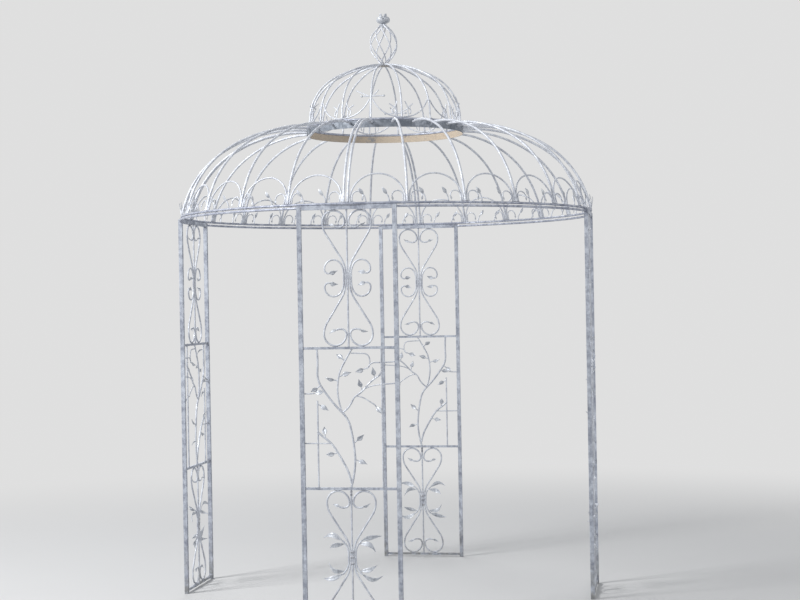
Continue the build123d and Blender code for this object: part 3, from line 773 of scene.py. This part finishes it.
@dataclass
class LeafSpray:
    """Forged leaves, each where a plain plate of a solid stands. Lengths are in metres.

    Plates longer than long_length are the leaves of the lower arms, whose spines bow away from the waist.
    """

    name: str
    plates: str
    carriers: tuple[str, ...]
    small_style: LeafStyle = LeafStyle.SLENDER
    broad_length: float = 0.042
    long_length: float = 0.06
    long_stretch: float = 1.15
    lift_limit: float = 0.05
    waist_level: float = 0.3397
    plate_thickness: float = 0.0025
    crease_angle: float = 40.0

    def islands(self, node: str) -> list[np.ndarray]:
        """Splits a solid's mesh into its separate bars and plates.

        Args:
            node: The solid's name.

        Returns:
            The corner points of each bar or plate.
        """
        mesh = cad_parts[node].data
        places = np.empty(len(mesh.vertices) * 3)
        mesh.vertices.foreach_get("co", places)
        places = places.reshape(-1, 3)
        keys: dict[tuple, int] = {}
        merged = [keys.setdefault(tuple(key), len(keys)) for key in np.round(places, PLACE_DIGITS)]
        parent = list(range(len(keys)))

        def root(item: int) -> int:
            """Follows an item to the head of its island.

            Args:
                item: The item's number.

            Returns:
                The number of the island's head.
            """
            while parent[item] != item:
                parent[item] = parent[parent[item]]
                item = parent[item]
            return item

        for face in mesh.polygons:
            corners = [merged[vertex] for vertex in face.vertices]
            for corner in corners[1:]:
                parent[root(corner)] = root(corners[0])
        found: dict[int, list[tuple]] = {}
        for key, item in keys.items():
            found.setdefault(root(item), []).append(key)
        return [np.array(points) for points in found.values()]

    def is_plate(self, points: np.ndarray) -> bool:
        """Says whether an island is a thin flat plate.

        Args:
            points: Its corner points.

        Returns:
            True for a plate.
        """
        middle = points.mean(axis=0)
        axes = np.linalg.svd(points - middle, full_matrices=False)[2]
        return bool(np.ptp((points - middle) @ axes[2]) < self.plate_thickness)

    def rods(self) -> KDTree:
        """Gathers the rods that the leaves grow from.

        Returns:
            A search tree of their corner points.
        """
        bars = [bar for node in self.carriers for bar in self.islands(node) if not self.is_plate(bar)]
        points = [Vector(point) for bar in bars for point in bar]
        tree = KDTree(len(points))
        for number, point in enumerate(points):
            tree.insert(point, number)
        tree.balance()
        return tree

    def places(self) -> dict[LeafStyle, list[Matrix]]:
        """Finds where each leaf grows from, which way it points and how it lies.

        Returns:
            The places of the leaves of each style.
        """
        tree = self.rods()
        found: dict[LeafStyle, list[Matrix]] = {}
        for plate in filter(self.is_plate, self.islands(self.plates)):
            middle = plate.mean(axis=0)
            axes = np.linalg.svd(plate - middle, full_matrices=False)[2]
            along, across = Vector(axes[0]), Vector(axes[1])
            reach = (plate - middle) @ axes[0]
            width = np.ptp((plate - middle) @ axes[1])
            ends = [Vector(middle) + along * float(end) for end in (reach.min(), reach.max())]
            if tree.find(ends[0])[2] > tree.find(ends[1])[2]:
                ends.reverse()
                along = -along
            length = (ends[1] - ends[0]).length
            normal = along.cross(across)
            if normal.dot(Vector((middle[0], middle[1], 0.0))) < 0:
                across = -across
                normal = -normal
            turn = Matrix((along, across, normal)).transposed().to_4x4()
            style = LeafStyle.BROAD if length > self.broad_length else self.small_style
            size = Matrix.Diagonal((length, float(width), min(length, self.lift_limit), 1.0))
            if length > self.long_length:
                style = LeafStyle.LONG
                bow_side = 1.0 if across.z * (middle[2] - self.waist_level) > 0 else -1.0
                size = size @ Matrix.Diagonal((self.long_stretch, bow_side, 1.0, 1.0))
            found.setdefault(style, []).append(Matrix.Translation(ends[0]) @ turn @ size)
        return found

    def build(self, patterns: dict[LeafStyle, bpy.types.Object], finish: bpy.types.Material) -> None:
        """Forges the leaves.

        Args:
            patterns: The leaf of each style.
            finish: The leaves' material.
        """
        for style, places in self.places().items():
            leaves = stamp(patterns[style], places, f"{self.name}_{style.value}_leaves")
            register(leaves, finish, [self.plates])

    def build_rods(self, finish: bpy.types.Material) -> None:
        """Builds the rods of a solid whose plates the leaves stand for.

        Args:
            finish: The rods' material.
        """
        plates = filter(self.is_plate, self.islands(self.plates))
        corners = {tuple(point) for plate in plates for point in plate}
        rods = bpy.data.objects.new(f"{self.name}_rods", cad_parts[self.plates].data.copy())
        bpy.context.scene.collection.objects.link(rods)
        make_active(rods)
        bpy.ops.object.mode_set(mode="EDIT")
        bpy.ops.mesh.select_all(action="SELECT")
        bpy.ops.mesh.remove_doubles(threshold=TOUCHING)
        pick_vertices(rods, lambda place: tuple(np.round(np.array(place, float), PLACE_DIGITS)) in corners)
        bpy.ops.mesh.delete(type="VERT")
        bpy.ops.object.mode_set(mode="OBJECT")
        bpy.ops.object.shade_smooth_by_angle(angle=math.radians(self.crease_angle))
        register(rods, finish, [self.plates])


@dataclass
class RodBuds:
    """Small forged buds on the free ends of the cupola's forks and stars."""

    node: str = "cupola_sprigs"
    neighbours: tuple[str, ...] = ("cupola_braces", "cupola_ribs", "cupola_ring")
    rod_radius: float = 0.003
    clear_distance: float = 0.005
    swell: float = 2.0
    stretch: float = 1.35
    reach_margin: float = 1.1
    area_margin: float = 0.8

    def caps(self) -> list[tuple[Vector, Vector]]:
        """Finds the flat ends of the rods, which are round and as wide as a rod.

        Returns:
            The middle and the outward direction of each end.
        """
        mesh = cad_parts[self.node].data
        flats: dict[tuple, list] = {}
        for face in mesh.polygons:
            offset = face.normal.dot(face.center)
            key = (*(round(part, 2) for part in face.normal), round(offset, 4))
            flats.setdefault(key, []).append(face)
        found = []
        for faces in flats.values():
            area = sum(face.area for face in faces)
            middle = sum((face.center * face.area for face in faces), Vector()) / area
            corners = (mesh.vertices[vertex].co for face in faces for vertex in face.vertices)
            reach = max((corner - middle).length for corner in corners)
            round_area = math.pi * self.rod_radius**2
            if reach < self.reach_margin * self.rod_radius and area > self.area_margin * round_area:
                found.append((middle, faces[0].normal.copy()))
        return found

    def build(self, pattern: bpy.types.Object, finish: bpy.types.Material) -> None:
        """Puts a bud on every end that nothing else holds.

        Args:
            pattern: A lumpy bead of one unit radius.
            finish: The buds' material.
        """
        trees = []
        for name in self.neighbours:
            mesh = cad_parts[name].data
            corners = [vertex.co for vertex in mesh.vertices]
            trees.append(BVHTree.FromPolygons(corners, [face.vertices for face in mesh.polygons]))
        places = []
        for middle, outward in self.caps():
            if min(tree.find_nearest(middle)[3] for tree in trees) < self.clear_distance:
                continue
            turn = outward.to_track_quat("Z", "Y").to_matrix().to_4x4()
            wide = self.rod_radius * self.swell
            places.append(sized(Matrix.Translation(middle) @ turn, (wide, wide, wide * self.stretch)))
        register(stamp(pattern, places, "cupola_buds"), finish)


# The flower on top of the finial


@dataclass(frozen=True)
class PetalRing:
    """A ring of like petals.

    Radii and levels are shares of the flower's, widths are shares of a petal's bay, angles are in degrees.
    """

    name: str
    count: int
    first: float
    radii: tuple[float, ...]
    levels: tuple[float, ...]
    widths: tuple[float, ...]
    swirl: float = 0.0

    def point(self, number: int, angle: float) -> Vector:
        """Returns a point of the petal's profile, turned round the axis."""
        out = self.radii[number]
        return Vector((out * math.cos(angle), out * math.sin(angle), self.levels[number]))


@dataclass
class Flower:
    """An open flower of two rings of petals round a bud, on a short stem, in metres.

    The bud is a row of steps up from the stem, each (widening, share of the flower's height).
    """

    radius: float = 0.0394
    foot_length: float = 0.022
    stem_radius: float = 0.004
    stem_edge: float = 0.0008
    wall: float = 0.0018
    crease_angle: float = 50.0
    bud: tuple[tuple[float, float], ...] = (
        (1.9, 0.05),
        (1.25, 0.18),
        (1.0, 0.18),
        (0.75, 0.11),
        (0.4, 0.06),
    )
    rings: tuple[PetalRing, ...] = (
        PetalRing(
            "outer",
            count=4,
            first=10.0,
            radii=(0.14, 0.46, 0.78, 0.95, 1.0, 0.98, 0.9),
            levels=(0.03, 0.05, 0.14, 0.28, 0.44, 0.58, 0.66),
            widths=(0.9, 0.96, 1.0, 0.98, 0.9, 0.7, 0.36),
        ),
        PetalRing(
            "inner",
            count=4,
            first=-23.0,
            radii=(0.12, 0.34, 0.5, 0.56, 0.57, 0.6, 0.66),
            levels=(0.06, 0.12, 0.3, 0.5, 0.7, 0.86, 0.98),
            widths=(0.8, 0.9, 0.94, 0.84, 0.76, 0.64, 0.42),
            swirl=34.0,
        ),
    )

    def petal(self, ring: PetalRing) -> bpy.types.Object:
        """Spins a profile into a strip of the cup and narrows it into one petal.

        Args:
            ring: The ring that the petal belongs to.

        Returns:
            A petal of one unit radius and one unit height that faces +X, round the Z axis.
        """
        half = math.pi / ring.count
        start_fresh()
        bpy.ops.mesh.primitive_plane_add(size=0.1)
        petal = bpy.context.object
        bpy.ops.object.mode_set(mode="EDIT")
        bpy.ops.mesh.select_all(action="SELECT")
        bpy.ops.mesh.merge(type="CENTER")
        bpy.ops.transform.translate(value=ring.point(0, -half))
        for number in range(1, len(ring.radii)):
            step = ring.point(number, -half) - ring.point(number - 1, -half)
            bpy.ops.mesh.extrude_region_move(TRANSFORM_OT_translate={"value": step})
        bpy.ops.mesh.select_all(action="SELECT")
        bpy.ops.mesh.spin(steps=6, angle=-2 * half, center=(0.0, 0.0, 0.0), axis=(0.0, 0.0, 1.0))
        for level, width in zip(ring.levels, ring.widths):
            pick_vertices(petal, lambda place: abs(place.z - level) < CLOSE)
            bpy.ops.transform.resize(value=(1.0, width, 1.0), center_override=(0.0, 0.0, level))
            twist = -math.radians(ring.swirl * level)
            bpy.ops.transform.rotate(value=twist, orient_axis="Z", center_override=(0.0, 0.0, level))
        bpy.ops.mesh.select_all(action="SELECT")
        bpy.ops.mesh.normals_make_consistent(inside=False)
        bpy.ops.object.mode_set(mode="OBJECT")
        return petal

    def build(self, finish: bpy.types.Material) -> None:
        """Builds the flower in place of the plain solid.

        Args:
            finish: The flower's material.
        """
        low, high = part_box("finial_blossom")
        base = low.z + self.foot_length
        height = high.z - base
        size = (self.radius, self.radius, height)
        for ring in self.rings:
            pattern = self.petal(ring)
            places = []
            for number in range(ring.count):
                turn = Matrix.Rotation(math.radians(ring.first) + 2 * math.pi * number / ring.count, 4, "Z")
                places.append(sized(Matrix.Translation((0, 0, base)) @ turn, size))
            petals = stamp(pattern, places, f"finial_{ring.name}_petals")
            discard(pattern)
            thicken(petals, self.wall, offset=-1.0)
            register(petals, finish, ["finial_blossom"])
        self.build_stem(low.z, base, height, finish)

    def build_stem(self, foot: float, base: float, height: float, finish: bpy.types.Material) -> None:
        """Builds the stem, which swells into a bud inside the petals.

        Args:
            foot: The stem's lowest level.
            base: The level that the petals start from.
            height: The flower's height over that level.
            finish: The stem's material.
        """
        start_fresh()
        bpy.ops.mesh.primitive_cylinder_add(
            vertices=16, radius=self.stem_radius, depth=base - foot, location=(0, 0, (foot + base) / 2)
        )
        stem = bpy.context.object
        stem.name = "finial_stem"
        bpy.ops.object.transform_apply(location=True, rotation=True, scale=True)
        bpy.ops.object.mode_set(mode="EDIT")
        pick_vertices(stem, lambda place: place.z > base - CLOSE)
        level = base
        for spread, share in self.bud:
            bpy.ops.mesh.extrude_region_move(TRANSFORM_OT_translate={"value": (0.0, 0.0, share * height)})
            level += share * height
            bpy.ops.transform.resize(value=(spread, spread, 1.0), center_override=(0.0, 0.0, level))
        bpy.ops.object.mode_set(mode="OBJECT")
        round_edges(stem, self.stem_edge, segments=2)
        bpy.ops.object.shade_smooth_by_angle(angle=math.radians(self.crease_angle))
        register(stem, finish, ["finial_blossom"])


# Welds


@dataclass
class WeldPatterns:
    """The beads of weld metal that the smith left where bars meet."""

    lumpiness: float = 0.12
    seed: int = 4
    seam_edge: float = 0.18

    def bead(self) -> bpy.types.Object:
        """Shapes a lumpy bead.

        Returns:
            A bead of one unit radius.
        """
        start_fresh()
        bpy.ops.mesh.primitive_ico_sphere_add(subdivisions=2, radius=1.0)
        bead = bpy.context.object
        bead.name = "bead_pattern"
        bpy.ops.object.mode_set(mode="EDIT")
        bpy.ops.mesh.select_all(action="SELECT")
        bpy.ops.transform.vertex_random(offset=self.lumpiness, seed=self.seed)
        bpy.ops.mesh.vertices_smooth(factor=0.4, repeat=1)
        bpy.ops.object.mode_set(mode="OBJECT")
        bpy.ops.object.shade_smooth()
        return bead

    def seam(self) -> bpy.types.Object:
        """Shapes a square seam with round edges.

        Returns:
            A seam of one unit half width, one unit thick along X.
        """
        start_fresh()
        bpy.ops.mesh.primitive_cube_add(size=2.0)
        seam = bpy.context.object
        seam.name = "seam_pattern"
        seam.scale = (0.5, 1.0, 1.0)
        bpy.ops.object.transform_apply(location=True, rotation=True, scale=True)
        round_edges(seam, self.seam_edge, segments=3)
        bpy.ops.object.shade_smooth()
        return seam


@dataclass
class PanelWelds:
    """Welds of one lattice panel, in metres. Points are (across, height), seen from outside.

    Sizes are half widths across the panel, through it and upwards.
    """

    side: str
    distance: float = 1.079
    opening: float = 0.22
    head_level: float = 1.99
    rail_levels: tuple[float, ...] = (1.3267, 0.6633, 0.016)
    sections: tuple[tuple[float, float], ...] = ((1.3327, 1.980), (0.022, 0.6573))
    lyre_offset: float = 0.0093
    lobe_radius: float = 0.054
    rod: float = 0.009
    weld_gap: float = 0.0003
    waist_rises: tuple[float, ...] = (-0.02, -0.006, 0.009, 0.021)
    lump_rises: tuple[float, ...] = (-0.028, 0.002, 0.026)
    foot_drops: tuple[float, ...] = (0.007, 0.021)
    stems: tuple[tuple[float, float], ...] = (
        (-0.002, 0.669),
        (-0.155, 0.669),
        (0.155, 0.669),
        (-0.155, 1.321),
        (0.0155, 1.321),
        (0.155, 1.321),
        (-0.22, 0.877),
        (-0.22, 1.112),
        (0.22, 1.157),
        (0.22, 1.2605),
        (0.155, 1.2315),
        (-0.155, 0.93),
        (-0.0365, 1.0215),
    )
    middle_bead: Size = (0.0066, 0.0064, 0.0022)
    lobe_bead: Size = (0.0105, 0.0042, 0.0018)
    side_bead: Size = (0.0016, 0.0034, 0.0075)
    waist_bead: Size = (0.0019, 0.0043, 0.0052)
    stem_bead: Size = (0.0062, 0.0062, 0.0034)
    waist_lump: Size = (0.0075, 0.0088, 0.0085)
    foot_lump: Size = (0.0066, 0.0068, 0.0105)
    head_seam: Size = (0.0042, 0.01045, 0.01)
    rail_seam: Size = (0.0045, 0.0071, 0.0071)

    def seat(self, across: float, height: float, size: Size) -> Matrix:
        """Returns the place and size of a weld on the panel, with X across and Z up."""
        turn = Matrix.Rotation(math.radians(PANEL_TURNS[self.side]), 4, "Z")
        return sized(turn @ Matrix.Translation((across, -self.distance, height)), size)

    def beads(self) -> list[Matrix]:
        """Finds the round beads.

        Returns:
            The place and size of each.
        """
        found = []
        for low, high in self.sections:
            middle = (low + high) / 2
            lobe_level = high - self.weld_gap - self.rod / 2 - self.lobe_radius
            lobe_across = self.lyre_offset + self.lobe_radius
            found += [self.seat(0.0, level, self.middle_bead) for level in (low, high)]
            for across in (-1, 1):
                for level in (low, high):
                    found.append(self.seat(across * lobe_across, level, self.lobe_bead))
                for level in (lobe_level, 2 * middle - lobe_level):
                    found.append(self.seat(across * self.lyre_offset / 2, level, self.side_bead))
                for rise in self.waist_rises:
                    for offset in (self.lyre_offset / 2, self.lyre_offset + self.rod / 2):
                        found.append(self.seat(across * offset, middle + rise, self.waist_bead))
        found += [self.seat(across, level, self.stem_bead) for across, level in self.stems]
        return found + self.lower_lumps()

    def lower_lumps(self) -> list[Matrix]:
        """Finds the big lumps of the lower section, at its waist and at the foot of the branch.

        Returns:
            The place and size of each.
        """
        low, high = self.sections[1]
        middle = (low + high) / 2
        lumps = [
            self.seat(side * self.lyre_offset / 2, middle + rise, self.waist_lump)
            for side in (-1, 1)
            for rise in self.lump_rises
        ]
        return lumps + [self.seat(0.0, high - drop, self.foot_lump) for drop in self.foot_drops]

    def seams(self) -> list[Matrix]:
        """Finds the square seams at the rails' ends.

        Returns:
            The place and size of each.
        """
        found = []
        for across in (-self.opening, self.opening):
            found.append(self.seat(across, self.head_level, self.head_seam))
            found += [self.seat(across, level, self.rail_seam) for level in self.rail_levels]
        return found


@dataclass
class DomeWelds:
    """Welds of the dome and the cupola, in metres and degrees. Sizes are half widths."""

    ring_radius: float = 1.092
    ring_level: float = 2.0063
    ring_rod: float = 0.012
    pair_spacing: float = 0.02
    quarter_half: float = 45.0
    bays: int = 6
    rib_lean: float = 10.0
    arch_lean: float = 16.5
    arch_half: float = 0.1301
    crown_radius: float = 0.42
    rib_end_level: float = 2.463
    cupola_radius: float = 0.418
    cupola_level: float = 2.4783
    cupola_lean: float = 30.0
    cupola_ribs: int = 16
    hub_radius: float = 0.032
    hub_level: float = 2.812
    rib_foot_bead: Size = (0.0074, 0.0078, 0.0032)
    rib_head_bead: Size = (0.0028, 0.0078, 0.0078)
    arch_bead: Size = (0.0052, 0.0056, 0.0028)
    cupola_foot_bead: Size = (0.0062, 0.0062, 0.0028)
    cupola_head_bead: Size = (0.0024, 0.0056, 0.0050)

    def around(
        self, angle: float, distance: float, level: float, lean: float = 0.0, lift: float = 0.0
    ) -> Matrix:
        """Finds a place on a circle round the axis, with X outwards and Z leaning in.

        Args:
            angle: Its direction from the axis, in degrees from +X.
            distance: Its distance from the axis.
            level: Its height.
            lean: How far its Z leans to the axis, in degrees.
            lift: How far it is moved along its own Z.

        Returns:
            The place.
        """
        turn = Matrix.Rotation(math.radians(angle), 4, "Z")
        tilt = Matrix.Rotation(math.radians(-lean), 4, "Y")
        raised = Matrix.Translation((0.0, 0.0, lift))
        return turn @ Matrix.Translation((distance, 0.0, level)) @ tilt @ raised

    def beads(self) -> list[Matrix]:
        """Finds the round beads.

        Returns:
            The place and size of each.
        """
        found = []
        end_angle = self.quarter_half - math.degrees(math.asin(self.pair_spacing / 2 / self.ring_radius))
        bay = 2 * end_angle / self.bays
        shift = math.degrees(math.asin(self.arch_half / self.ring_radius))
        foot_lift = self.ring_rod / 2
        for turn in QUARTER_TURNS.values():
            for number in range(self.bays + 1):
                angle = turn - end_angle + number * bay
                foot = self.around(angle, self.ring_radius, self.ring_level, self.rib_lean, foot_lift)
                found.append(sized(foot, self.rib_foot_bead))
                head = self.around(angle, self.crown_radius, self.rib_end_level)
                found.append(sized(head, self.rib_head_bead))
            for number in range(self.bays):
                middle = turn - end_angle + (number + 0.5) * bay
                for angle in (middle - shift, middle + shift):
                    foot = self.around(angle, self.ring_radius, self.ring_level, self.arch_lean, foot_lift)
                    found.append(sized(foot, self.arch_bead))
        for number in range(self.cupola_ribs):
            angle = self.quarter_half + number * 360 / self.cupola_ribs
            foot = self.around(angle, self.cupola_radius, self.cupola_level, self.cupola_lean, foot_lift)
            found.append(sized(foot, self.cupola_foot_bead))
            head = self.around(angle, self.hub_radius, self.hub_level)
            found.append(sized(head, self.cupola_head_bead))
        return found


# Studio


@dataclass(frozen=True)
class SoftLamp:
    """A square soft lamp. Its bearing is in degrees from the camera's side, positive to the left."""

    name: str
    bearing: float
    height: float
    reach: float
    size: float
    power: float


@dataclass
class Studio:
    """A pale floor and backdrop, soft lamps and the camera at the photograph's place."""

    focal_pixels: float = 1595.17
    picture_width: float = 800.0
    sensor: float = 36.0
    distance: float = 8.577
    eye_level: float = 1.541
    direction: float = -124.893
    yaw: float = 0.428
    pitch: float = 0.0537
    roll: float = -1.0138
    backdrop: float = 0.74
    sky_light: float = 0.42
    floor_radius: float = 60.0
    floor_level: float = -0.0005
    aim_level: float = 1.5
    lamps: tuple[SoftLamp, ...] = (
        SoftLamp("key_lamp", bearing=62.0, height=6.0, reach=7.5, size=2.2, power=680.0),
        SoftLamp("fill_lamp", bearing=-55.0, height=4.0, reach=8.5, size=4.0, power=120.0),
        SoftLamp("rear_lamp", bearing=165.0, height=6.0, reach=7.0, size=3.0, power=160.0),
    )

    def set_camera(self) -> None:
        """Stands the camera where the photograph was taken from."""
        frame_turn = Matrix.Rotation(math.radians(self.direction + 90.0), 3, "Z")
        yaw, pitch, roll = (math.radians(angle) for angle in (self.yaw, self.pitch, self.roll))
        right = Vector((math.cos(yaw), -math.sin(yaw), 0.0))
        ahead = Vector((math.sin(yaw) * math.cos(pitch), math.cos(yaw) * math.cos(pitch), math.sin(pitch)))
        up = Vector((-math.sin(yaw) * math.sin(pitch), -math.cos(yaw) * math.sin(pitch), math.cos(pitch)))
        rolled_right = right * math.cos(roll) + up * math.sin(roll)
        rolled_up = up * math.cos(roll) - right * math.sin(roll)
        axes = Matrix((frame_turn @ rolled_right, frame_turn @ rolled_up, frame_turn @ -ahead)).transposed()
        data = bpy.data.cameras.new("photo_camera")
        data.sensor_width = self.sensor
        data.lens = self.focal_pixels / self.picture_width * self.sensor
        camera = bpy.data.objects.new("photo_camera", data)
        place = frame_turn @ Vector((0.0, -self.distance, self.eye_level))
        camera.matrix_world = Matrix.Translation(place) @ axes.to_4x4()
        bpy.context.scene.collection.objects.link(camera)
        bpy.context.scene.camera = camera

    def lay_floor(self) -> None:
        """Lays a wide round floor under the gazebo."""
        start_fresh()
        bpy.ops.mesh.primitive_circle_add(
            vertices=96, radius=self.floor_radius, fill_type="NGON", location=(0, 0, self.floor_level)
        )
        floor = bpy.context.object
        floor.name = "studio_floor"
        floor.data.materials.append(GroundFinish().build(self.backdrop))

    def fill_sky(self) -> None:
        """Surrounds the scene with a pale backdrop that lights the gazebo evenly."""
        world = bpy.data.worlds.new("studio_sky")
        bpy.context.scene.world = world
        world.use_nodes = True
        tree = world.node_tree
        tree.nodes.clear()
        wires = Wiring(tree)
        backdrop = (self.backdrop,) * 3 + (1.0,)
        lit = wires.add("ShaderNodeBackground", {"Color": SKY, "Strength": self.sky_light})
        shown = wires.add("ShaderNodeBackground", {"Color": backdrop, "Strength": 1.0})
        shares = {0: seen_directly(wires), 1: lit.outputs[0], 2: shown.outputs[0]}
        mixed = wires.add("ShaderNodeMixShader", shares)
        output = wires.add("ShaderNodeOutputWorld")
        wires.feed(output.inputs["Surface"], mixed.outputs[0])

    def hang_lamp(self, lamp: SoftLamp) -> None:
        """Hangs a lamp that faces the gazebo.

        Args:
            lamp: The lamp.
        """
        data = bpy.data.lights.new(lamp.name, "AREA")
        data.shape = "SQUARE"
        data.size = lamp.size
        data.energy = lamp.power
        piece = bpy.data.objects.new(lamp.name, data)
        angle = math.radians(self.direction - lamp.bearing)
        piece.location = Vector((lamp.reach * math.cos(angle), lamp.reach * math.sin(angle), lamp.height))
        aim = Vector((0.0, 0.0, self.aim_level)) - piece.location
        piece.rotation_mode = "QUATERNION"
        piece.rotation_quaternion = aim.to_track_quat("-Z", "Y")
        bpy.context.scene.collection.objects.link(piece)

    def build(self) -> None:
        """Sets up the whole studio."""
        self.set_camera()
        self.lay_floor()
        self.fill_sky()
        for lamp in self.lamps:
            self.hang_lamp(lamp)
        bpy.context.scene.view_settings.view_transform = "Standard"
        log.info("studio ready")


def main() -> None:
    """Dresses the solids and builds every piece of the gazebo in order."""
    shop = Paintshop()
    shop.dress_solids()
    leaf_zinc, weld_zinc = shop.finish["leaf_zinc"], shop.finish["weld_zinc"]
    patterns = {pattern.style: pattern.build() for pattern in LEAF_PATTERNS}
    for side in PANEL_TURNS:
        carriers = (f"{side}_scrolls", f"{side}_vine")
        LeafSpray(side, f"{side}_leaves", carriers).build(patterns, leaf_zinc)
    for quarter in QUARTER_TURNS:
        sprigs = f"{quarter}_ring_sprigs"
        spray = LeafSpray(sprigs, sprigs, (sprigs,), LeafStyle.SMALL)
        # The ring's sprig rods get the roof's zinc, painted paler for the light on the top.
        spray.build_rods(shop.finish["roof_zinc_painted_light"])
        spray.build(patterns, leaf_zinc)
    discard(*patterns.values())
    Flower().build(leaf_zinc)
    welds = WeldPatterns()
    bead, seam = welds.bead(), welds.seam()
    RodBuds().build(bead, leaf_zinc)
    for side in PANEL_TURNS:
        panel = PanelWelds(side)
        register(stamp(bead, panel.beads(), f"{side}_weld_beads"), weld_zinc)
        register(stamp(seam, panel.seams(), f"{side}_weld_seams"), weld_zinc)
    register(stamp(bead, DomeWelds().beads(), "dome_weld_beads"), weld_zinc)
    discard(bead, seam)
    Studio().build()
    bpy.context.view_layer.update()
    start_fresh()


if __name__ == "__main__":
    main()
